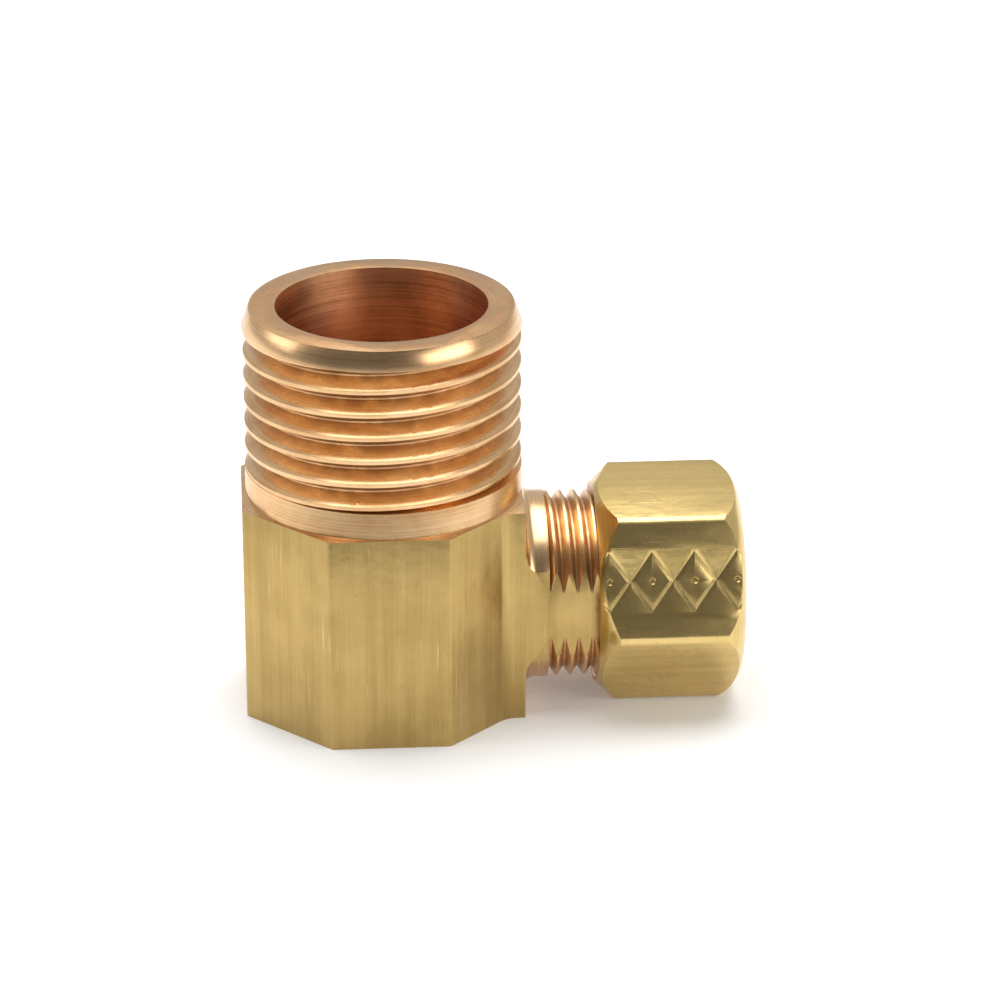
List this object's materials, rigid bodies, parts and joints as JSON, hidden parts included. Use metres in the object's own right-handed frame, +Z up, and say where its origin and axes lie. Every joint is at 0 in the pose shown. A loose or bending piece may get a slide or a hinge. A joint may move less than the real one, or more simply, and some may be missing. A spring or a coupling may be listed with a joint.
{
  "type": "brass compression elbow fitting",
  "caption": "Right-angle brass fitting: threaded male pipe end on an octagonal body, and a compression tube end with a hexagon nut over a sealing sleeve.",
  "frame": {"origin": "centre of the flat base, on the pipe thread's axis", "axes": "+Z up the pipe thread, +X out of the compression end along the tube's axis"},
  "size_m": [0.0375, 0.0214, 0.0313],
  "materials": {
    "body_brass": "drawn flats, bright turned threads",
    "nut_brass": "drawn, knurled flats",
    "sleeve_brass": "bright turned"
  },
  "bodies": {
    "elbow": {"elbow_body": "body_brass"},
    "sleeve": {"compression_sleeve": "sleeve_brass"},
    "nut": {"compression_nut": "nut_brass"}
  },
  "joints": [
    {"name": "nut_travel", "type": "slide", "parent": "elbow", "child": "sleeve", "axis": [1, 0, 0], "range_m": [-0.0006, 0.0052]},
    {"name": "nut_turn", "type": "hinge", "parent": "sleeve", "child": "nut", "pos_m": [0.0213, 0, 0.00841], "axis": [1, 0, 0], "range_deg": [-180, 1620]}
  ],
  "couplings": [
    {"joint": "nut_travel", "follows": "nut_turn", "m_per_rad": 0.00016844}
  ]
}
